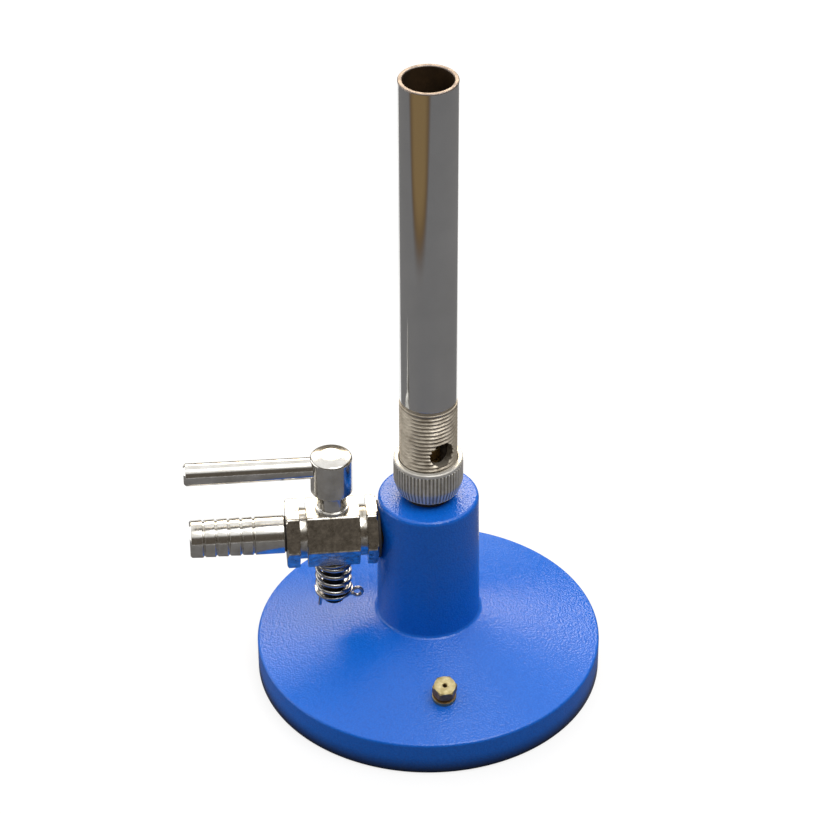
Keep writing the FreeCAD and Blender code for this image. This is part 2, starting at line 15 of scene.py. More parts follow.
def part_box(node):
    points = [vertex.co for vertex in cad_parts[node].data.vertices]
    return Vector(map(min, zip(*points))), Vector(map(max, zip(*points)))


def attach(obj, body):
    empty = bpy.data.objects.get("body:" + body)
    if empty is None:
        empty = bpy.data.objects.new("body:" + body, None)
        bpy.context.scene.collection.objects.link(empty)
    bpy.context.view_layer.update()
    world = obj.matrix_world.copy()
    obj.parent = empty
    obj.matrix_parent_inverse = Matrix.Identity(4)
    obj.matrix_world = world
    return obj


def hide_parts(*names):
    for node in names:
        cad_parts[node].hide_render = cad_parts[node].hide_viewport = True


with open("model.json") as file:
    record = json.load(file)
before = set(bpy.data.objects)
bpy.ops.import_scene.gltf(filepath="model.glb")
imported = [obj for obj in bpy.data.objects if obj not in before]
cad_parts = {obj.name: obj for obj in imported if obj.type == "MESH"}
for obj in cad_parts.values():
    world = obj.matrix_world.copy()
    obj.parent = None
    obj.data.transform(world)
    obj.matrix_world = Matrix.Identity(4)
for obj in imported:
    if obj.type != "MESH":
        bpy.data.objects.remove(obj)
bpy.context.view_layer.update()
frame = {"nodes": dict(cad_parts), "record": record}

LOG = logging.getLogger("burner")
MM = 0.001
SHARP_DEGREES = 32.0  # edges bent more than this are drawn sharp
HEX_CORNER = 0.985  # share of a hexagon bar's sharp corner that is left
ON_AXIS = 1e-6  # a smaller radius, in millimetres, is a point on the axis
SKIN = 0.02  # play, in millimetres, in the tests of which faces take a stain
HAIR = 0.05  # the same, near a curved face

Point = tuple[float, float]
Three = tuple[float, float, float]
Cut = Callable[[float, float, float], float]
Test = Callable[[Vector], bool]
Tree = bpy.types.NodeTree
Socket = bpy.types.NodeSocket
Piece = bpy.types.Object


class Body(Enum):
    """The moving bodies that a piece can ride on."""

    BURNER = "burner"
    KEY = "valve_key"
    COLLAR = "regulator_collar"


def linear(code: str) -> tuple[float, float, float, float]:
    """Turns the six digits of an sRGB hex colour into linear red, green, blue and an alpha of 1."""
    channels = [int(code[i:i + 2], 16) / 255 for i in (0, 2, 4)]
    return (*[c / 12.92 if c <= 0.04045 else ((c + 0.055) / 1.055) ** 2.4 for c in channels], 1.0)


def per_metre(size_mm: float) -> float:
    """Pattern scale at which one feature is size_mm wide."""
    return 1.0 / (size_mm * MM)


def add_node(tree: Tree, kind: str, settings: dict | None = None, links: dict | None = None,
             out: int | str = 0) -> Socket | None:
    """Adds one shader node with its settings and links.

    Args:
        tree: Node tree that takes the node.
        kind: Blender's name of the node type, less its ShaderNode prefix.
        settings: Socket or attribute names with their values.
        links: Socket names of the new node with the output sockets that feed them.
        out: The output socket that is wanted.

    Returns:
        That output socket, where the node has any.
    """
    node = tree.nodes.new(f"ShaderNode{kind}")
    attributes = {k: v for k, v in (settings or {}).items() if isinstance(k, str) and hasattr(node, k)}
    for key, value in attributes.items():
        setattr(node, key, value)
    for key, value in (settings or {}).items():
        if key not in attributes:
            node.inputs[key].default_value = value
    for key, source in (links or {}).items():
        tree.links.new(source, node.inputs[key])
    return node.outputs[out] if len(node.outputs) else None


def noise(tree: Tree, place: Socket, size_mm: float, detail: float) -> Socket:
    """Cloudy pattern with features of size_mm."""
    return add_node(tree, "TexNoise", {"Scale": per_metre(size_mm), "Detail": detail}, {"Vector": place})


def blend(tree: Tree, share: Socket, first: str | Socket, second: str) -> Socket:
    """Mixes two colours, of which the first is hex digits or a socket, by the share of the second."""
    fixed, linked = ({6: linear(first)}, {}) if isinstance(first, str) else ({}, {6: first})
    return add_node(tree, "Mix", {"data_type": "RGBA", 7: linear(second), **fixed}, {0: share, **linked}, 2)


def ramp(tree: Tree, value: Socket, start: float, full: float, low: float = 0.0, high: float = 1.0,
         eased: bool = False) -> Socket:
    """Maps values from start to full onto low to high, level outside that and eased where asked."""
    return add_node(tree, "MapRange", {
        "interpolation_type": "SMOOTHSTEP" if eased else "LINEAR", "From Min": start, "From Max": full,
        "To Min": low, "To Max": high}, {"Value": value})


@dataclass(frozen=True)
class Finish:
    """A surface finish that is built as one node material."""

    name: str
    slot: str

    def material(self) -> bpy.types.Material:
        """The finish's material, made on first use."""
        found = bpy.data.materials.get(self.name)
        if found:
            return found
        made = bpy.data.materials.new(self.name)
        made.use_nodes = True
        made.node_tree.nodes.clear()
        add_node(made.node_tree, "OutputMaterial", links={"Surface": self.shade(made.node_tree)})
        return made

    def shade(self, tree: Tree) -> Socket:
        """Builds the shader in the material's empty node tree and returns its output socket."""
        raise NotImplementedError


@dataclass(frozen=True)
class StovedEnamel(Finish):
    """Textured blue stoving enamel on cast iron.

    Sprayed on thick and baked, it dries to a fine even stipple with a hard gloss, so it shows many
    small points of light on a strong blue. Near the bench its colour darkens to near black as painted shade.
    """

    face: str = "0E6CDA"
    deep: str = "0A5EC8"
    # Near-black painted shade for the foot, where it meets the bench.
    painted_foot_shade: str = "070B14"
    bead_mm: float = 0.46
    bead_depth_mm: float = 0.056
    swell_mm: float = 6.0
    swell_depth_mm: float = 0.1
    foot_shade_mm: float = 5.2
    least_rough: float = 0.18
    most_rough: float = 0.26

    def shade(self, tree: Tree) -> Socket:
        """Beaded gloss with a slow drift of roughness and painted shade darkening the foot; see the base
        class.
        """
        place = add_node(tree, "TexCoord", out="Object")
        bead = add_node(tree, "TexVoronoi", {
            "feature": "SMOOTH_F1", "Scale": per_metre(self.bead_mm), "Smoothness": 0.3}, {
            "Vector": place})
        swell = noise(tree, place, self.swell_mm, 2.0)
        height = add_node(tree, "SeparateXYZ", links={"Vector": place}, out="Z")
        # Painted shade: towards the bench the colour darkens to near black.
        foot = ramp(tree, height, self.foot_shade_mm * MM, 0.0, eased=True)
        grain = add_node(tree, "Bump", {
            "invert": True, "Strength": 1.0, "Distance": self.bead_depth_mm * MM}, {"Height": bead})
        skin = add_node(tree, "Bump", {
            "Strength": 0.3, "Distance": self.swell_depth_mm * MM}, {"Height": swell, "Normal": grain})
        return add_node(tree, "BsdfPrincipled", links={
            "Base Color": blend(tree, foot, blend(tree, bead, self.face, self.deep), self.painted_foot_shade),
            "Roughness": ramp(tree, swell, 0, 1, self.least_rough, self.most_rough), "Normal": skin})


@dataclass(frozen=True)
class PlatedMetal(Finish):
    """Electroplated or bare metal, turned or drawn before plating.

    Fine tool lines run one way and handling leaves faint smears, so reflections stay clear but
    break up a little along the lines. Oxide or dirt, where it is not all bare, adds a matt tone.
    Real tool lines are finer still, and are drawn coarser here so that they show.
    """

    bright: str = "E6E4E0"
    dull: str = "C4C0B7"
    gloss: float = 0.12
    smear: float = 0.10
    smear_mm: float = 4.0
    smear_none: float = 0.32
    smear_full: float = 0.68
    bare: float = 1.0
    line_mm: float = 0.25
    line_depth_mm: float = 0.006
    stretch: Vector = Vector((1.0, 1.0, 1.0))

    def tone(self, tree: Tree, place: Socket, clear: Socket) -> Socket:
        """Colour of the metal at object coordinates, where clear is 0 in a smear and 1 beside it."""
        return blend(tree, clear, self.dull, self.bright)

    def shade(self, tree: Tree) -> Socket:
        """Metal with smears and fine lines; see the base class."""
        place = add_node(tree, "TexCoord", out="Object")
        smear = add_node(tree, "TexNoise", {
            "Scale": per_metre(self.smear_mm), "Detail": 4.0, "Roughness": 0.6}, {"Vector": place})
        clear = ramp(tree, smear, self.smear_none, self.smear_full)
        along = add_node(tree, "Mapping", {"Scale": self.stretch}, {"Vector": place})
        lines = noise(tree, along, self.line_mm, 2.0)
        bump = add_node(tree, "Bump", {
            "Strength": 0.5, "Distance": self.line_depth_mm * MM}, {"Height": lines})
        return add_node(tree, "BsdfPrincipled", {"Metallic": self.bare}, {
            "Base Color": self.tone(tree, place, clear), "Normal": bump,
            "Roughness": ramp(tree, clear, 0, 1, self.gloss + self.smear, self.gloss)})


@dataclass(frozen=True)
class PaintedReflectionTube(PlatedMetal):
    """Chrome plate on a drawn tube, with a painted reflection that runs down from its mouth.

    A brown and straw streak, painted as a reflection, runs down from the mouth on two sides and narrows
    as it fades, and the draw lines pull reflections into fine upright lines.
    """

    straw: str = "F0CC90"
    brown: str = "A2866C"
    streak_degrees: float = -112.0
    wide_edge: float = 0.915
    narrow_edge: float = 0.992
    fade_low_mm: float = 104.0
    fade_high_mm: float = 140.0
    mouth_mm: float = 157.0
    brown_full: float = 0.6
    straw_none: float = 0.15
    straw_full: float = 0.9

    def tone(self, tree: Tree, place: Socket, clear: Socket) -> Socket:
        """Plain metal with the painted reflection streaks laid over it; see the base class."""
        # Painted reflection: a brown and straw streak laid over the plain metal.
        plain = super().tone(tree, place, clear)
        angle, fade_low = radians(self.streak_degrees), self.fade_low_mm * MM
        flat = add_node(tree, "VectorMath", {"operation": "MULTIPLY", 1: (1, 1, 0)}, {0: place})
        radial = add_node(tree, "VectorMath", {"operation": "NORMALIZE"}, {0: flat})
        facing = add_node(tree, "VectorMath", {
            "operation": "DOT_PRODUCT", 1: (cos(angle), sin(angle), 0)}, {0: radial}, "Value")
        either = add_node(tree, "Math", {"operation": "ABSOLUTE"}, {0: facing})
        height = add_node(tree, "SeparateXYZ", links={"Vector": place}, out="Z")
        edge = ramp(tree, height, fade_low, self.mouth_mm * MM, self.narrow_edge, self.wide_edge)
        across = add_node(tree, "MapRange", links={"Value": either, "From Min": edge})
        down = ramp(tree, height, fade_low, self.fade_high_mm * MM, eased=True)
        both = add_node(tree, "Math", {"operation": "MULTIPLY"}, {0: across, 1: down})
        outer = ramp(tree, both, 0.0, self.brown_full, eased=True)
        core = ramp(tree, both, self.straw_none, self.straw_full, eased=True)
        return blend(tree, core, blend(tree, outer, plain, self.brown), self.straw)


@dataclass(frozen=True)
class VulcanisedFibre(Finish):
    """Dark grey vulcanised fibre, stamped from sheet: dense, matt, with short pale fibres in it."""

    face: str = "2E2A27"
    fleck: str = "4A4540"
    fibre_mm: float = 0.4
    fibre_depth_mm: float = 0.03

    def shade(self, tree: Tree) -> Socket:
        """Matt sheet with flecks; see the base class."""
        place = add_node(tree, "TexCoord", out="Object")
        fleck = noise(tree, place, self.fibre_mm, 3.0)
        bump = add_node(tree, "Bump", {
            "Strength": 0.4, "Distance": self.fibre_depth_mm * MM}, {"Height": fleck})
        return add_node(tree, "BsdfPrincipled", {"Roughness": 0.7}, {
            "Base Color": blend(tree, fleck, self.face, self.fleck), "Normal": bump})


@dataclass(frozen=True)
class WhiteBench(Finish):
    """White laminate bench under the burner: matt, seen as white, and it keeps the shadow."""

    face: str = "7C7C7C"
    lift: float = 0.80

    def shade(self, tree: Tree) -> Socket:
        """Matt white that the camera and mirrors see lifted to paper white; see the base class."""
        seen = add_node(tree, "Math", {"operation": "MAXIMUM"}, {
            0: add_node(tree, "LightPath", out="Is Camera Ray"),
            1: add_node(tree, "LightPath", out="Is Glossy Ray")})
        lift = add_node(tree, "Math", {"operation": "MULTIPLY", 1: self.lift}, {0: seen})
        matt = add_node(tree, "BsdfDiffuse", {"Color": linear(self.face)})
        glow = add_node(tree, "Emission", {"Color": linear("FFFFFF")}, {"Strength": lift})
        return add_node(tree, "AddShader", links={0: matt, 1: glow})


@dataclass(frozen=True)
class GreyCard(Finish):
    """Matt grey card, as a studio lays in front of bright metal to give it something dim to mirror."""

    face: str = "6C6C6E"

    def shade(self, tree: Tree) -> Socket:
        """Plain matt card; see the base class."""
        return add_node(tree, "BsdfDiffuse", {"Color": linear(self.face)})


ENAMEL = StovedEnamel("blue_stoving_enamel", "blue_enamel")
# A clean mirror with faint upright lines, a burnt edge at the mouth, and a heat-stained bore painted dark as
# shade.
CHROME = PaintedReflectionTube("chrome_plate_on_drawn_tube", "chrome_plate", "DDDEDE", "D2D3D3", gloss=0.10, smear=0.05,
                    smear_mm=14.0, line_mm=0.3, line_depth_mm=0.003, stretch=Vector((1.0, 1.0, 0.03)))
SCORCHED = PlatedMetal("chrome_scorched_at_the_mouth", "chrome_plate", "A0948A", "877C76", gloss=0.38,
                       smear=0.15, smear_mm=2.0)
SOOT_AND_SHADE = PlatedMetal("heat_stain_and_painted_shade_in_bore", "chrome_plate", "5A4630", "33271A", gloss=0.35, smear=0.25,
                   smear_mm=6.0, bare=0.5)
# A clear mirror on turned pieces; on the bar it is stained in spots, with lines along the bar.
NICKEL = PlatedMetal("nickel_plate_on_turned_brass", "nickel_plate")
BAR_NICKEL = PlatedMetal("nickel_plate_on_drawn_hexagon_bar", "nickel_plate", "ECE8E0", "948D80", gloss=0.14,
                         smear=0.14, smear_mm=1.2, line_mm=0.4, line_depth_mm=0.005,
                         stretch=Vector((0.05, 1.0, 1.0)))
# Warm grey with soft reflections only.
HOT_NICKEL = PlatedMetal("nickel_plate_dulled_by_heat", "nickel_plate", "CAC1B1", "9E9485", gloss=0.34,
                         smear=0.2, smear_mm=2.5, bare=0.75)
# Pale satin on the knurl's crests, and a darker grey deep in its grooves.
HANDLED = PlatedMetal("nickel_plate_worn_by_fingers", "nickel_plate", "E6E3DC", "CFCBC2", gloss=0.32,
                      smear=0.12, smear_mm=2.0, bare=0.5)
DARKER_IN_GROOVES = PlatedMetal("darker_grey_in_knurl_grooves", "nickel_plate", "A39E92", "827D72", gloss=0.42, smear=0.1,
                    smear_mm=1.0, bare=0.5)
# Grease on brass, painted nearly black as shade, with a wet gloss.
GREASE_AND_SHADE = PlatedMetal("grease_and_painted_shade_on_brass", "nickel_plate", "3C3228", "1E1812", gloss=0.25, smear=0.2,
                      smear_mm=1.5)
# Dull yellow where it is rubbed, and brown where it is not: tarnish on the head, painted shade in the groove
# and bore.
BRASS = PlatedMetal("bare_turned_brass", "bare_brass", "CABD92", "9E8D60", gloss=0.34, smear=0.2,
                    smear_mm=1.2)
TARNISH_AND_SHADE = PlatedMetal("brass_tarnish_and_painted_shade", "bare_brass", "957240", "5E4624", gloss=0.42, smear=0.15,
                      smear_mm=1.0, bare=0.35)
# Bare cast iron, painted near black as the shade behind the seal, and matt.
SHADED_SPOT_FACE = PlatedMetal("spot_face_in_painted_shade", "blue_enamel", "1E1D1C", "121111", gloss=0.6, smear=0.15,
                       smear_mm=1.0, bare=0.0)
# Bright wire with small sharp glints.
STEEL = PlatedMetal("bright_drawn_spring_steel", "spring_steel", "C9C8C6", "A4A3A2", gloss=0.14, smear=0.08,
                    smear_mm=1.5)
FIBRE = VulcanisedFibre("dark_vulcanised_fibre", "fibre")
BENCH = WhiteBench("white_laminate_bench", "")
CARD = GreyCard("grey_card", "")
BY_SLOT = {finish.slot: finish for finish in (ENAMEL, CHROME, NICKEL, BRASS, STEEL, FIBRE)}


def rounded(corners: Sequence[Three], closed: bool, steps: int) -> list[Point]:
    """Rounds the corners of an outline.

    Args:
        corners: Radius, height and corner round of each corner, in millimetres.
        closed: Whether the last corner joins the first.
        steps: Points on each round.

    Returns:
        The outline's points, radius and height in millimetres.
    """
    points: list[Point] = []
    count = len(corners)
    for i, (r, z, rounding) in enumerate(corners):
        at_end = not closed and i in (0, count - 1)
        if rounding <= 0 or at_end:
            points.append((r, z))
            continue
        here = Vector((r, z))
        before = (Vector(corners[i - 1][:2]) - here).normalized()
        after = (Vector(corners[(i + 1) % count][:2]) - here).normalized()
        half = before.angle(after) / 2
        bisector = (before + after).normalized()
        centre = here + bisector * (rounding / sin(half))
        start = here + before * (rounding / tan(half)) - centre
        sweep = pi - 2 * half
        turn = 1 if before.x * after.y - before.y * after.x < 0 else -1
        for k in range(steps + 1):
            point = centre + Matrix.Rotation(turn * sweep * k / steps, 2) @ start
            points.append((point.x, point.y))
    return points


def smooth(mesh: bpy.types.Mesh, sharp_degrees: float) -> None:
    """Shades a mesh smooth but for edges bent more than sharp_degrees."""
    mesh.polygons.foreach_set("use_smooth", [True] * len(mesh.polygons))
    mesh.set_sharp_from_angle(angle=radians(sharp_degrees))


def add_object(name: str, data: bpy.types.ID) -> Piece:
    """Links a new object into the scene."""
    made = bpy.data.objects.new(name, data)
    bpy.context.scene.collection.objects.link(made)
    return made


def aimed(name: str, data: bpy.types.ID, at: Vector, aim: Vector) -> Piece:
    """A new lamp or camera that looks from one point, in metres, at another."""
    made = add_object(name, data)
    made.location = at
    made.rotation_euler = (aim - at).to_track_quat("-Z", "Y").to_euler()
    return made


def mesh_object(name: str, rings: Sequence[Sequence[Vector]], place: Matrix, loop: bool = False) -> Piece:
    """Joins rings of points into a closed skin.

    Args:
        name: Its name.
        rings: Rings of points in millimetres; a ring of one point closes an end.
        place: Its place, in metres.
        loop: Whether the last ring joins the first.

    Returns:
        The new object, at the origin, with its place in its mesh.
    """
    skin = bmesh.new()
    verts = [[skin.verts.new(place @ (p * MM)) for p in ring] for ring in rings]
    pairs = list(zip(verts, verts[1:])) + ([(verts[-1], verts[0])] if loop else [])
    for low, high in pairs:
        count = max(len(low), len(high))
        for i in range(count):
            j = (i + 1) % count
            quad = (low[i % len(low)], low[j % len(low)], high[j % len(high)], high[i % len(high)])
            skin.faces.new(tuple(dict.fromkeys(quad)))
    if not loop:
        for ring in (verts[0], verts[-1]):
            if len(ring) > 2:
                skin.faces.new(ring)
    bmesh.ops.recalc_face_normals(skin, faces=skin.faces)
    mesh = bpy.data.meshes.new(name)
    skin.to_mesh(mesh)
    skin.free()
    smooth(mesh, SHARP_DEGREES)
    return add_object(name, mesh)


def turned(name: str, corners: Sequence[Three], place: Matrix, segments: int = 128, steps: int = 5,
           cut: Cut | None = None) -> Piece:
    """A piece turned on a lathe.

    Args:
        name: Its name.
        corners: Outline of radius, height and corner round in millimetres: of a solid piece from bottom to
            top, starting on the axis, or else a closed loop round a bore.
        place: Its place, in metres.
        segments: Points round each ring.
        steps: Points on each corner round.
        cut: Radius left at an angle, a radius and a height, for knurls, flats and threads.

    Returns:
        The new object.
    """
    hollow = corners[0][0] > ON_AXIS
    rings = []
    for r, z in rounded(corners, hollow, steps):
        if r < ON_AXIS:
            rings.append([Vector((0, 0, z))])
            continue
        ring = []
        for i in range(segments):
            angle = 2 * pi * i / segments
            radius = cut(angle, r, z) if cut else r
            ring.append(Vector((radius * cos(angle), radius * sin(angle), z)))
        rings.append(ring)
    return mesh_object(name, rings, place, loop=hollow)


def tube(name: str, path: Sequence[Vector], radius: float, place: Matrix, sides: int = 20) -> Piece:
    """A round wire along a path, with slightly rounded ends.

    Args:
        name: Its name.
        path: Points of the wire's centre line in millimetres.
        radius: Wire radius in millimetres.
        place: Its place, in metres.
        sides: Points round the wire.

    Returns:
        The new object.
    """
    end_share, end_reach = 0.72, 0.28
    rings: list[list[Vector]] = []
    ways = [(path[min(i + 1, len(path) - 1)] - path[max(i - 1, 0)]).normalized() for i in range(len(path))]
    side = ways[0].orthogonal().normalized()
    for point, way in zip(path, ways):
        side = (side - way * side.dot(way)).normalized()
        other = way.cross(side)
        rings.append([point + (side * cos(a) + other * sin(a)) * radius
                      for a in (2 * pi * k / sides for k in range(sides))])
    ends = []
    for way, ring in ((-ways[0], rings[0]), (ways[-1], rings[-1])):
        middle = sum(ring, Vector()) / sides
        ends.append([middle + (p - middle) * end_share + way * (end_reach * radius) for p in ring])
    return mesh_object(name, [ends[0], *rings, ends[1]], place)


def bore(piece: Piece, cutter: Piece, sharp_degrees: float = SHARP_DEGREES) -> None:
    """Cuts one piece out of another and removes the cutter.

    Args:
        piece: The piece that is cut.
        cutter: The closed shape that is taken out of it.
        sharp_degrees: Bend above which an edge is sharp.
    """
    step = piece.modifiers.new("bore", "BOOLEAN")
    step.operation = "DIFFERENCE"
    step.solver = "EXACT"
    step.object = cutter
    graph = bpy.context.evaluated_depsgraph_get()
    mesh = bpy.data.meshes.new_from_object(piece.evaluated_get(graph))
    piece.modifiers.clear()
    old = piece.data
    piece.data = mesh
    mesh.name = piece.name
    bpy.data.meshes.remove(old)
    bpy.data.objects.remove(cutter)
    smooth(mesh, sharp_degrees)


def fit(piece: Piece, finish: Finish, node: str, body: Body = Body.BURNER) -> None:
    """Dresses a piece, puts it on its body and lets it stand for its CAD node.

    Args:
        piece: The new piece.
        finish: Its finish.
        node: The CAD node that it stands for.
        body: The body that it rides on.
    """
    piece.data.materials.clear()
    piece.data.materials.append(finish.material())
    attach(piece, body.value)
    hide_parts(node)
    LOG.info("%s: %d faces", piece.name, len(piece.data.polygons))


def stain(piece: Piece, finish: Finish, taken: Test) -> None:
    """Gives some faces of a piece a second finish.

    Args:
        piece: The dressed piece.
        finish: The second finish.
        taken: Whether a face with this centre, in millimetres, takes it.
    """
    piece.data.materials.append(finish.material())
    last = len(piece.data.materials) - 1
    for face in piece.data.polygons:
        if taken(face.center / MM):
            face.material_index = last


def ends_mm(node: str) -> tuple[Vector, Vector]:
    """Lowest and highest corner of a CAD node in millimetres."""
    low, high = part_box(node)
    return low / MM, high / MM


def middle_mm(node: str) -> Vector:
    """Middle of a CAD node's box in millimetres."""
    return sum(ends_mm(node), Vector()) / 2


def standing(node: str) -> Three:
    """Radius, foot and top of an upright round CAD node in millimetres."""
    low, high = ends_mm(node)
    return (high.x - low.x) / 2, low.z, high.z


def lying(node: str) -> Three:
    """Radius, near end and far end of a round CAD node along -X, in millimetres from the barrel's axis."""
    low, high = ends_mm(node)
    return (high.z - low.z) / 2, -high.x, -low.x


def upright(node: str) -> Matrix:
    """Place of a piece that is built up +Z about a CAD node's upright axis."""
    middle = middle_mm(node) * MM
    return Matrix.Translation((middle.x, middle.y, 0))


def outward(x_mm: float, node: str) -> Matrix:
    """Place of a piece built up +Z that runs out along -X from x_mm, at the height of a CAD node."""
    height = middle_mm(node).z * MM
    return Matrix(((0, 0, -1, x_mm * MM), (0, 1, 0, 0), (1, 0, 0, height), (0, 0, 0, 1)))


def along_nozzle() -> Matrix:
    """Place of a piece on the cock's axis, built out from the barrel's axis."""
    return outward(0.0, "hose_nozzle")


def hexagon(across_flats: float) -> Cut:
    """A cut that leaves a hexagon bar with just-broken corners, in millimetres. A flat faces +X."""
    half, side = across_flats / 2, pi / 3
    return lambda angle, r, z: min(
        r, half / cos((angle + side / 2) % side - side / 2), half / cos(side / 2) * HEX_CORNER)


def lathe(node: str, finish: Finish, corners: Sequence[Three], body: Body = Body.BURNER,
          place: Matrix | None = None, **shape: int | Cut) -> Piece:
    """Turns a piece and fits it.

    Args:
        node: The CAD node that it stands for.
        finish: Its finish.
        corners: Its outline; see turned.
        body: The body that it rides on.
        place: Its place, where that is not upright on the node's axis.
        shape: Further values for turned.

    Returns:
        The new object.
    """
    piece = turned(f"{node}_skin", corners, place or upright(node), **shape)
    fit(piece, finish, node, body)
    return piece


@dataclass
class CastBase:
    """The enamelled base: coned disc and column in one casting."""

    edge_height: float = 8.4
    cone_degrees: float = 16.1
    edge_round: float = 0.7
    foot_fillet: float = 1.0
    top_round: float = 1.0
    bottom_chamfer: float = 0.5
    column_radius: float = 11.5
    column_taper: float = 0.012
    rim_width: float = 6.0
    pad_radius: float = 13.9
    relief: float = 2.0
    relief_slope: float = 0.6
    flank_rings: int = 20
    spot_clearance: float = 0.1
    spot_depth: float = 6.0

    def build(self) -> None:
        """Builds the casting and its spot face for the cock."""
        _, high = ends_mm("base_casting")
        radius, top = high.x, high.z
        rise, taper = tan(radians(self.cone_degrees)), self.column_taper
        foot_z = (self.edge_height + (radius - self.column_radius - taper * top) * rise) / (1 - taper * rise)
        rim, slope = radius - self.rim_width, self.relief_slope

        def flank_radius(z: float) -> float:
            """The column's radius at a height."""
            return self.column_radius + taper * (top - z)

        flank_low, flank_high = foot_z + 2 * self.foot_fillet, top - 2 * self.top_round
        flank_step = (flank_high - flank_low) / self.flank_rings
        heights = [flank_low + flank_step * k for k in range(self.flank_rings + 1)]
        casting = turned("base_casting_skin", [
            (0, 0, 0), (self.pad_radius, 0, 0.2), (self.pad_radius + slope, self.relief, 0.5),
            (rim - slope, self.relief, 0.5), (rim, 0, 0.2),
            (radius - self.bottom_chamfer, 0, 0.3), (radius, self.bottom_chamfer, 0.4),
            (radius, self.edge_height, self.edge_round), (flank_radius(foot_z), foot_z, self.foot_fillet),
            *[(flank_radius(z), z, 0.0) for z in heights],
            (self.column_radius, top, self.top_round), (0, top, 0)],
            Matrix.Identity(4), segments=240, steps=8)
        seal, near, _ = lying("inlet_washer")
        spot_radius, far = seal + self.spot_clearance, near + self.spot_depth
        bore(casting, turned("spot_face", [
            (0, near, 0), (spot_radius, near, 0), (spot_radius, far, 0), (0, far, 0)],
            along_nozzle(), segments=96))
        fit(casting, ENAMEL, "base_casting")
        axis = middle_mm("inlet_washer").z

        def spot_faced(at: Vector) -> bool:
            """Whether a face lies in the spot face, which is inside the column's own surface."""
            near_axis = hypot(at.y, at.z - axis) < spot_radius + HAIR
            return at.x < 0 and near_axis and hypot(at.x, at.y) < flank_radius(at.z) - HAIR

        # The spot face is painted near black as the shade behind the seal.
        stain(casting, SHADED_SPOT_FACE, spot_faced)


@dataclass
class Burner:
    """Barrel, mixing sleeve, stem and their washer."""

    barrel_wall: float = 1.0
    rim_round: float = 0.28
    pitch: float = 1.0
    thread_depth: float = 0.5
    crest_power: float = 0.8
    lead_in: float = 0.3
    rows_per_turn: int = 10
    hole_radius: float = 3.0
    hole_degrees: float = -64.0
    hole_gap: float = 4.1
    hole_sharp: float = 40.0
    drill_reach: float = 12.0
    land_step: float = 0.25
    land_height: float = 0.8
    spigot_length: float = 6.0
    spigot_clearance: float = 0.05
    spigot_wall: float = 0.9
    soot_shade_reach: float = 0.1
    stem_bore: float = 1.95
    stem_tail: float = 4.0
    stem_top: float = 4.5
    washer_bore: float = 4.06

    def build_barrel(self) -> None:
        """Builds the plated tube with its bore, heat-stained and painted dark as shade."""
        outer, low, high = standing("barrel_tube")
        inner = outer - self.barrel_wall
        rim = high - self.rim_round
        barrel = lathe("barrel_tube", CHROME, [
            (inner, low, 0.1), (outer, low, 0.25), (outer, high, self.rim_round),
            (inner, high, self.rim_round)], segments=192)
        stain(barrel, SCORCHED, lambda at: at.z > rim)
        # The bore is heat-stained and painted dark as shade.
        stain(barrel, SOOT_AND_SHADE, lambda at: hypot(at.x, at.y) < inner + SKIN and at.z < rim)

    def build_sleeve(self) -> None:
        """Builds the sleeve with a true helical thread and its two air holes."""
        crest, low, high = standing("mixing_sleeve")
        land_top = high - self.spigot_length
        thread_top = high - self.spigot_length - self.land_height
        spigot = standing("barrel_tube")[0] - self.barrel_wall - self.spigot_clearance
        inner = spigot - self.spigot_wall
        land = crest - self.land_step
        rows = round((thread_top - low) / self.pitch * self.rows_per_turn)
        outline = [(inner, low, 0.0), (crest - self.lead_in, low, 0.0)]
        outline += [(crest, low + (thread_top - low) * k / rows, 0.0) for k in range(1, rows)]
        outline += [(land, thread_top, 0.0), (land, land_top, 0.1), (spigot, land_top, 0.0),
                    (spigot, high, 0.0), (inner, high, 0.0)]

        def thread(angle: float, r: float, z: float) -> float:
            """Radius of the thread's rounded ridge and groove at an angle and a height."""
            if r < crest - SKIN:
                return r
            phase = ((z - low) / self.pitch - angle / (2 * pi)) % 1.0
            groove = 0.5 - 0.5 * cos(2 * pi * phase)
            fade = min(1.0, (thread_top - z) / self.pitch, (z - low) / (0.5 * self.pitch))
            return r - self.thread_depth * groove ** self.crest_power * fade

        sleeve = turned("mixing_sleeve_skin", outline, upright("mixing_sleeve"), segments=160, cut=thread)
        height = standing("air_regulator")[2] + self.hole_gap
        across = Matrix.Translation((0, 0, height * MM)) @ Matrix.Rotation(
            radians(self.hole_degrees), 4, "Z") @ Matrix.Rotation(pi / 2, 4, "Y")
        reach = self.drill_reach
        bore(sleeve, turned("air_hole_drill", [
            (0, -reach, 0), (self.hole_radius, -reach, 0), (self.hole_radius, reach, 0), (0, reach, 0)],
            across, segments=96), self.hole_sharp)
        fit(sleeve, HOT_NICKEL, "mixing_sleeve")
        # The sleeve's inside is painted dark as shade, with heat stain.
        stain(sleeve, SOOT_AND_SHADE, lambda at: hypot(at.x, at.y) < inner + self.soot_shade_reach)

    def build_stem(self) -> None:
        """Builds the stem's visible neck and the washer under it."""
        neck, low, high = standing("jet_stem")
        _, face_low, face = standing("stem_washer")
        _, sleeve, _ = standing("mixing_sleeve")
        lathe("jet_stem", NICKEL, [
            (self.stem_bore, low, 0), (self.stem_tail, low, 0.2), (self.stem_tail, face, 0),
            (neck, face, 0.2), (neck, sleeve, 0.25), (self.stem_top, sleeve, 0), (self.stem_top, high, 0.2),
            (self.stem_bore, high, 0.1)])
        lathe("stem_washer", FIBRE, [
            (self.washer_bore, face_low, 0.08), (neck, face_low, 0.12), (neck, face, 0.12),
            (self.washer_bore, face, 0.08)])


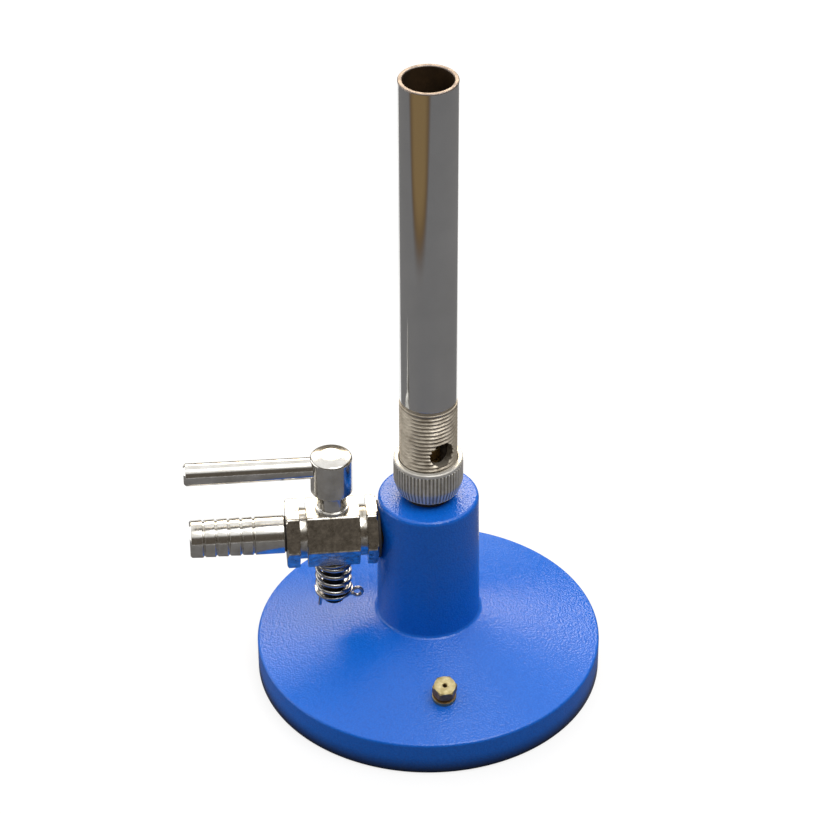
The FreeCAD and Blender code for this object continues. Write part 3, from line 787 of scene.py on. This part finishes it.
@dataclass
class AirRegulator:
    """The knurled collar on the sleeve's thread."""

    bore_wall: float = 1.25
    bore_margin: float = 0.3
    band_height: float = 0.95
    band_step: float = 0.1
    top_chamfer: float = 0.2
    countersink: float = 0.15
    skirt_height: float = 2.8
    skirt_inset: float = 0.9
    teeth: int = 56
    tooth_depth: float = 0.3
    crest_power: float = 0.7
    dark_groove_share: float = 0.6
    points_per_tooth: int = 12

    def build(self) -> None:
        """Builds the collar: a plain band on top, the knurl, and the skirt that the knurl fades out on."""
        outer, low, high = standing("air_regulator")
        inner = outer - self.bore_wall
        band = high - self.band_height
        band_radius = outer - self.band_step
        step = self.band_step

        def skirt(z: float) -> float:
            """Share of the skirt's height, from 0 at its foot to 1 at its top and above."""
            return min(1.0, (z - low) / self.skirt_height)

        def knurl(angle: float, r: float, z: float) -> float:
            """Radius left by the straight knurl's grooves at an angle."""
            if r < inner + self.bore_margin or z > band:
                return r
            phase = (angle * self.teeth / (2 * pi)) % 1.0
            depth = self.tooth_depth * (0.5 - 0.5 * cos(2 * pi * phase)) ** self.crest_power
            return r - depth * (0.5 + 0.5 * skirt(z))

        def grooved(at: Vector) -> bool:
            """Whether a face lies deep in the knurl's grooves."""
            crest = outer - self.skirt_inset * (1 - skirt(at.z))
            deep = crest - self.dark_groove_share * self.tooth_depth * (0.5 + 0.5 * skirt(at.z))
            return at.z < band - step and inner + self.bore_margin < hypot(at.x, at.y) < deep

        collar = lathe("air_regulator", HANDLED, [
            (inner, low, 0.15), (outer - self.skirt_inset, low, 0.12),
            (outer, low + self.skirt_height, 0.12), (outer, band - step, 0.08),
            (band_radius - step, band, 0.05), (band_radius, band + step, 0.05),
            (band_radius, high - self.top_chamfer, 0.08), (band_radius - self.top_chamfer, high, 0.08),
            (inner + self.countersink, high, 0.05), (inner, high - self.countersink, 0.05)],
            Body.COLLAR, segments=self.teeth * self.points_per_tooth, cut=knurl)
        # Faces deep in the knurl's grooves are coloured darker grey.
        stain(collar, DARKER_IN_GROOVES, grooved)


@dataclass
class GasCock:
    """Cock body, nozzle and the seals at its two ends."""

    across_flats: float = 14.0
    groove_radius: float = 5.9
    inlet_radius: float = 4.75
    inlet_flange: float = 2.35
    inlet_seal: float = 4.81
    groove: float = 1.8
    block: float = 11.85
    chamfer: float = 0.35
    corner_inset: float = 0.3
    corner_break: float = 0.15
    bore_taper: float = 0.05
    bore_overrun: float = 1.0
    bore_flare: float = 0.5
    plug_top_radius: float = 3.94
    nozzle_radius: float = 4.4
    nozzle_wall: float = 1.8
    nozzle_inset: float = 0.8
    nozzle_seal: float = 3.66
    tip_chamfer: float = 0.4
    barbs: int = 5
    barb_pitch: float = 2.85
    barb_tip: float = 3.2
    barb_groove: float = 0.7
    barb_depth: float = 0.45
    barb_ramp: float = 0.1
    seal_edge: float = 0.25

    def build_body(self) -> None:
        """Builds the hexagon body with its turned grooves and tapered bore."""
        _, low, high = standing("valve_body")
        _, start, end = lying("valve_body")
        _, _, face = lying("inlet_washer")
        corner = self.across_flats / sqrt(3)
        inset, chamfer, bottom = corner - self.corner_inset, self.chamfer, self.groove_radius
        first = face + self.inlet_flange
        corners = [
            (0, start, 0), (self.inlet_radius, start, 0.3), (self.inlet_radius, face, 0),
            (inset - chamfer, face, 0), (corner, face + chamfer, 0.1)]
        for near in (first, first + self.groove + self.block):
            far = near + self.groove
            corners += [(corner, near - self.corner_break, 0.08), (inset, near, 0), (bottom, near, 0.25),
                        (bottom, far, 0.25), (inset, far, 0), (corner, far + self.corner_break, 0.08)]
        corners += [(corner, end - chamfer, 0.1), (inset - chamfer, end, 0), (0, end, 0)]
        body = turned("valve_body_skin", corners, along_nozzle(), segments=240,
                      cut=hexagon(self.across_flats))
        cut_low, cut_high = low - self.bore_overrun, high + self.bore_flare
        low_radius = self.plug_top_radius - self.bore_taper * (high - cut_low)
        bore(body, turned("plug_taper_cutter", [
            (0, cut_low, 0), (low_radius, cut_low, 0), (self.plug_top_radius, high, 0),
            (self.plug_top_radius + self.bore_flare, cut_high, 0), (0, cut_high, 0)],
            upright("valve_plug"), segments=96))
        fit(body, BAR_NICKEL, "valve_body")
        # The spigot inside the column is painted nearly black as shade.
        stain(body, GREASE_AND_SHADE, lambda at: at.x > SKIN - face)

    def build_nozzle(self) -> None:
        """Builds the nozzle with its rounded barbs."""
        _, root, tip = lying("hose_nozzle")
        _, _, shoulder = lying("nozzle_washer")
        r, inner = self.nozzle_radius, self.nozzle_radius - self.nozzle_wall
        tail, ramped = r - self.nozzle_inset, r - self.barb_ramp
        corners = [
            (inner, root, 0), (tail, root, 0.1), (tail, shoulder, 0), (r, shoulder, 0.12)]
        first = tip - self.barb_tip - (self.barbs - 1) * self.barb_pitch
        for barb in range(self.barbs):
            at = first + barb * self.barb_pitch
            land = r if barb == 0 else ramped
            corners += [(land, at - self.barb_groove / 2, 0.12), (r - self.barb_depth, at, 0.1),
                        (r, at + self.barb_groove / 2, 0.15)]
        corners += [(ramped, tip - self.tip_chamfer, 0.3), (ramped - self.tip_chamfer, tip, 0.15),
                    (inner, tip, 0.2)]
        lathe("hose_nozzle", NICKEL, corners, place=along_nozzle(), segments=160)

    def build_seals(self) -> None:
        """Builds the two fibre washers."""
        for node, inner in (("inlet_washer", self.inlet_seal), ("nozzle_washer", self.nozzle_seal)):
            outer, near, far = lying(node)
            edge = self.seal_edge * (far - near)
            lathe(node, FIBRE, [
                (inner, near, edge / 2), (outer, near, edge), (outer, far, edge), (inner, far, edge / 2)],
                place=along_nozzle())


@dataclass
class PlugKey:
    """The turning parts of the cock: plug, lever, spring, washers and split pin."""

    taper_top_radius: float = 3.9
    taper: float = 0.05
    taper_inset: float = 0.5
    taper_above: float = 0.8
    neck_radius: float = 3.4
    head_radius: float = 4.8
    head_height: float = 9.4
    head_chamfer: float = 0.4
    head_round: float = 0.7
    crown: float = 0.7
    crown_dip: float = 0.18
    crown_round: float = 2.0
    tail_radius: float = 2.5
    tail_chamfer: float = 0.3
    grease_shade_reach: float = 0.2
    lever_root: float = 2.5
    lever_root_at: float = 4.2
    lever_chamfer: float = 0.5
    tenon_radius: float = 1.9
    tenon_from: float = 1.5
    tenon_to: float = 4.15
    washer_clearance: float = 0.06
    wire_radius: float = 0.55
    wire_gap: float = 0.02
    coil_radius: float = 3.7
    turns: float = 3.5
    points_per_turn: int = 72
    end_pitch: float = 2.15
    pin_radius: float = 0.42
    pin_offset: float = 0.5
    pin_gap: float = 0.08
    eye_radius: float = 1.1
    eye_reach: float = 5.45
    eye_neck: float = 0.7
    bend_gap: float = 0.1
    upper_bend: Three = (0.9, 70.0, 1.8)
    lower_bend: Three = (0.5, 85.0, 2.2)

    def build_plug(self) -> None:
        """Builds the plug with its crowned head and its tail."""
        _, low, high = standing("valve_plug")
        _, block_low, block_high = standing("valve_body")
        head, brow = high - self.crown - self.head_height, high - self.crown
        taper_low, taper_high = block_low + self.taper_inset, block_high + self.taper_above
        low_radius = self.taper_top_radius - self.taper * (block_high - taper_low)
        high_radius = self.taper_top_radius + self.taper * self.taper_above
        plug = lathe("valve_plug", NICKEL, [
            (0, low, 0), (self.tail_radius - self.tail_chamfer, low, 0.1),
            (self.tail_radius, low + self.tail_chamfer, 0.1), (self.tail_radius, taper_low, 0),
            (low_radius, taper_low, 0.1), (high_radius, taper_high, 0.2),
            (self.neck_radius, taper_high, 0.15), (self.neck_radius, head, 0.3),
            (self.head_radius - self.head_chamfer, head, 0.1),
            (self.head_radius, head + self.head_chamfer, 0.2), (self.head_radius, brow, self.head_round),
            (self.head_radius / 2, high - self.crown_dip, self.crown_round), (0, high, 0)],
            Body.KEY, steps=7)
        # The tail inside the spring is painted nearly black as shade, over its grease.
        stain(plug, GREASE_AND_SHADE, lambda at: at.z < taper_low + self.grease_shade_reach)

    def build_lever(self) -> None:
        """Builds the swelling lever rod with the tenon in the head."""
        tip, _, far = lying("lever_rod")
        axis = middle_mm("valve_plug").x
        end = axis + far
        lathe("lever_rod", NICKEL, [
            (0, self.tenon_from, 0), (self.tenon_radius, self.tenon_from, 0.1),
            (self.tenon_radius, self.tenon_to, 0), (self.lever_root, self.lever_root_at, 0),
            (tip, end - self.lever_chamfer, 0.3), (tip - self.lever_chamfer, end, 0.2), (0, end, 0)],
            Body.KEY, outward(axis, "lever_rod"), steps=7)

    def build_washers(self) -> None:
        """Builds the two steel washers on the tail."""
        for node in ("seat_washer", "tail_washer"):
            outer, low, high = standing(node)
            inner = self.tail_radius + self.washer_clearance
            lathe(node, STEEL, [
                (inner, low, 0.08), (outer, low, 0.15), (outer, high, 0.15), (inner, high, 0.08)], Body.KEY)

    def build_spring(self) -> None:
        """Builds the spring as one wire, a little closer at both ends than between."""
        top = standing("seat_washer")[1] - self.wire_gap - self.wire_radius
        bottom = standing("tail_washer")[2] + self.wire_gap + self.wire_radius
        open_pitch = (top - bottom - 2 * self.end_pitch) / (self.turns - 2)
        path = []
        for k in range(round(self.turns * self.points_per_turn) + 1):
            turn = k / self.points_per_turn
            opened = min(max(turn - 1, 0), self.turns - 2)
            drop = self.end_pitch * (turn - opened) + open_pitch * opened
            angle = pi + 2 * pi * turn
            path.append(Vector((self.coil_radius * cos(angle), self.coil_radius * sin(angle), top - drop)))
        spring = tube("plug_spring_wire", path, self.wire_radius, upright("valve_plug"), sides=24)
        fit(spring, STEEL, "plug_spring", Body.KEY)

    def build_pin(self) -> None:
        """Builds the split pin: legs, bends and eye in one bent wire."""
        height = standing("tail_washer")[1] - self.pin_gap - self.pin_offset - self.pin_radius
        rise, span = self.pin_offset + self.eye_neck, self.eye_radius + self.eye_neck
        neck_turn = acos(rise / span)
        neck_x = self.eye_reach - sqrt(span ** 2 - rise ** 2)
        bend_x = -self.tail_radius - self.bend_gap

        def leg(side: int, away: Vector, shape: Three) -> list[Vector]:
            """One leg from the eye's end out to its tip.

            Args:
                side: 1 for the upper leg and -1 for the lower one.
                away: The way that its end is bent.
                shape: Radius and degrees of the bend, and length of the end.

            Returns:
                The leg's points.
            """
            radius, degrees, end = shape
            bent = radians(degrees)
            points = []
            for k in range(7):
                a = neck_turn * (1 - k / 6)
                points.append(Vector((neck_x + self.eye_neck * sin(a), 0, side * (
                    self.pin_offset + self.eye_neck * (1 - cos(a))))))
            for k in range(9):
                a = bent * k / 8
                points.append(Vector((bend_x - radius * sin(a), 0, side * self.pin_offset))
                              + away * (radius * (1 - cos(a))))
            points.append(points[-1] + (Vector((-cos(bent), 0, 0)) + away * sin(bent)) * end)
            return points

        eye = []
        for k in range(1, 32):
            a = (pi / 2 + neck_turn) * (1 - k / 16)
            eye.append(Vector((self.eye_reach + self.eye_radius * cos(a), 0, self.eye_radius * sin(a))))
        upper = leg(1, Vector((0, 1, 0)), self.upper_bend)
        path = upper[::-1] + eye + leg(-1, Vector((0, 0, -1)), self.lower_bend)
        place = upright("valve_plug") @ Matrix.Translation((0, 0, height * MM))
        fit(tube("split_pin_wire", path, self.pin_radius, place), STEEL, "split_pin", Body.KEY)


@dataclass
class Jet:
    """The brass jets: one at work in the stem and one stowed on the base."""

    spigot_radius: float = 1.9
    spigot_length: float = 3.6
    flange_radius: float = 2.75
    flange: float = 1.1
    groove: float = 0.9
    across_flats: float = 5.0
    head: float = 2.6
    chamfer: float = 0.3
    top_inset: float = 0.15
    bore_radius: float = 1.1
    orifice_radius: float = 0.45
    orifice_depth: float = 1.2
    orifice_sink: float = 0.2
    orifice_flare: float = 0.15
    clean_top: float = 0.25
    cone_degrees: float = 16.1
    place_degrees: float = -87.8
    place_radius: float = 27.437
    place_height: float = 12.026

    def corners(self) -> list[Three]:
        """Outline round the bore, bottom to top, with the orifice's sunk edge."""
        neck = self.flange + self.groove
        top = neck + self.head
        corner = self.across_flats / sqrt(3)
        edge, shaft, orifice = corner - self.chamfer, self.spigot_radius, self.orifice_radius
        return [
            (self.bore_radius, -self.spigot_length, 0), (shaft, -self.spigot_length, 0.15), (shaft, 0, 0),
            (self.flange_radius, 0, 0.1), (self.flange_radius, self.flange, 0.2), (shaft, self.flange, 0.2),
            (shaft, neck, 0.2), (edge, neck, 0.05), (corner, neck + self.chamfer, 0.05),
            (corner, top - self.chamfer, 0.1), (edge - self.top_inset, top, 0.1),
            (orifice + self.orifice_flare, top, 0.05), (orifice, top - self.orifice_sink, 0),
            (orifice, top - self.orifice_depth, 0), (self.bore_radius, top - self.orifice_depth, 0)]

    def cut(self) -> Cut:
        """The flats on the jet's head, and nothing below it."""
        flats = hexagon(self.across_flats)
        neck = self.flange + self.groove - SKIN
        return lambda angle, r, z: flats(angle, r, z) if z > neck else r

    def takes_tarnish_and_shade(self, at: Vector) -> bool:
        """Whether a face of the upright jet browns: tarnish on the head, painted shade in its groove and
        bore.
        """
        top = self.flange + self.groove + self.head - self.clean_top
        return self.flange - HAIR < at.z < top or hypot(at.x, at.y) < self.orifice_radius + SKIN

    def build(self) -> None:
        """Builds both jets."""
        spare_place = Matrix.Rotation(radians(self.place_degrees), 4, "Z") @ Matrix.Translation(
            (self.place_radius * MM, 0, self.place_height * MM)) @ Matrix.Rotation(
            radians(self.cone_degrees), 4, "Y")
        work_place = Matrix.Translation((0, 0, standing("jet_stem")[2] * MM))
        for node, place in (("gas_jet", work_place), ("spare_jet", spare_place)):
            jet = lathe(node, BRASS, self.corners(), place=place, segments=120, cut=self.cut())
            own = place.inverted()
            # Brown on the head's flanks is tarnish; in the groove and the orifice it is painted shade.
            stain(jet, TARNISH_AND_SHADE, lambda at: self.takes_tarnish_and_shade(own @ (at * MM) / MM))


@dataclass(frozen=True)
class Lamp:
    """One soft box: its place, width and height in metres, its power in watts and its sRGB colour."""

    name: str
    at: Vector
    width: float
    height: float
    watts: float
    colour: str = "FFFFFF"
    aim: Vector = Vector((0, 0, 0.06))

    def build(self) -> None:
        """Hangs the lamp, aimed at the burner."""
        lamp = bpy.data.lights.new(self.name, "AREA")
        lamp.shape = "RECTANGLE"
        lamp.size, lamp.size_y = self.width, self.height
        lamp.energy = self.watts
        lamp.color = linear(self.colour)[:3]
        aimed(self.name, lamp, self.at, self.aim)


@dataclass
class Studio:
    """Bench, lights and camera."""

    camera_at: Vector = Vector((-0.05256, -0.56657, 0.48603))
    camera_aim: Vector = Vector((0.0, 0.0, 0.07347))
    lens: float = 139.66
    shift: float = -0.02616
    bench_reach: float = 6.0
    card_side: float = 0.95
    card_front: float = -1.2
    card_back: float = 1.35
    card_height: float = 0.0002
    lamps: tuple[Lamp, ...] = (
        Lamp("back_window", Vector((0.1, 1.45, 1.0)), 1.7, 0.55, 18.0, "FFEED2"),
        Lamp("left_window", Vector((-1.3, 0.3, 0.25)), 1.5, 0.5, 5.5),
        Lamp("top_light", Vector((0.35, -0.38, 1.4)), 0.9, 0.9, 9.0))
    wall: str = "565049"
    ceiling: str = "FAFAFA"
    ceiling_from: float = 0.48
    ceiling_full: float = 0.70
    ceiling_lean: float = 0.2
    room_strength: float = 1.2

    def add_sheet(self, name: str, corners: Sequence[Point], height: float, finish: Finish) -> Piece:
        """Lays one flat sheet of the studio.

        Args:
            name: Sheet name.
            corners: Its corners in plan, in order.
            height: Its height.
            finish: Its finish.

        Returns:
            The sheet.
        """
        mesh = bpy.data.meshes.new(name)
        mesh.from_pydata([(*corner, height) for corner in corners], [], [range(len(corners))])
        mesh.materials.append(finish.material())
        sheet = add_object(name, mesh)
        return sheet

    def build_bench(self) -> None:
        """Lays the white bench top, and the card in front of it that only reflections show."""
        far = self.bench_reach
        self.add_sheet("bench_top", [(-far, -far), (far, -far), (far, far), (-far, far)], 0.0, BENCH)
        side, front, back = self.card_side, self.card_front, self.card_back
        card = self.add_sheet("front_card", [
            (0, 0), (-side, back), (-side, front), (side, front), (side, back)], self.card_height, CARD)
        card.visible_camera = False
        card.visible_diffuse = False
        card.visible_shadow = False

    def build_light(self) -> None:
        """Hangs the lamps in a room of dim walls under a bright ceiling that leans to the back."""
        for lamp in self.lamps:
            lamp.build()
        world = bpy.data.worlds.new("room")
        world.use_nodes = True
        tree = world.node_tree
        tree.nodes.clear()
        way = add_node(tree, "TexCoord", out="Generated")
        back, up = [add_node(tree, "SeparateXYZ", links={"Vector": way}, out=axis) for axis in "YZ"]
        leant = add_node(tree, "Math", {"operation": "MULTIPLY_ADD", 1: self.ceiling_lean}, {0: back, 2: up})
        share = ramp(tree, leant, self.ceiling_from, self.ceiling_full, eased=True)
        glow = add_node(tree, "Background", {"Strength": self.room_strength}, {
            "Color": blend(tree, share, self.wall, self.ceiling)})
        add_node(tree, "OutputWorld", links={"Surface": glow})
        bpy.context.scene.world = world
        bpy.context.scene.view_settings.view_transform = "Standard"

    def build_camera(self) -> None:
        """Sets the camera at the viewing angle."""
        lens = bpy.data.cameras.new("camera")
        lens.lens = self.lens
        lens.shift_x = self.shift
        bpy.context.scene.camera = aimed("camera", lens, self.camera_at, self.camera_aim)


def dress_frame() -> None:
    """Gives every CAD node that stays in view the finish of its slot."""
    for entry in frame["record"]["subparts"]:
        node = frame["nodes"][entry["node"]]
        node.data.materials.clear()
        node.data.materials.append(BY_SLOT[entry["material_slot"]].material())


def main() -> None:
    """Builds the burner's looks and the studio."""
    logging.basicConfig(level=logging.INFO, format="%(name)s: %(message)s")
    dress_frame()
    burner, cock, key, studio = Burner(), GasCock(), PlugKey(), Studio()
    for build in (
            CastBase().build, burner.build_barrel, burner.build_sleeve, burner.build_stem,
            AirRegulator().build, cock.build_body, cock.build_nozzle, cock.build_seals, key.build_plug,
            key.build_lever, key.build_washers, key.build_spring, key.build_pin, Jet().build,
            studio.build_bench, studio.build_light, studio.build_camera):
        build()


if __name__ == "__main__":
    main()
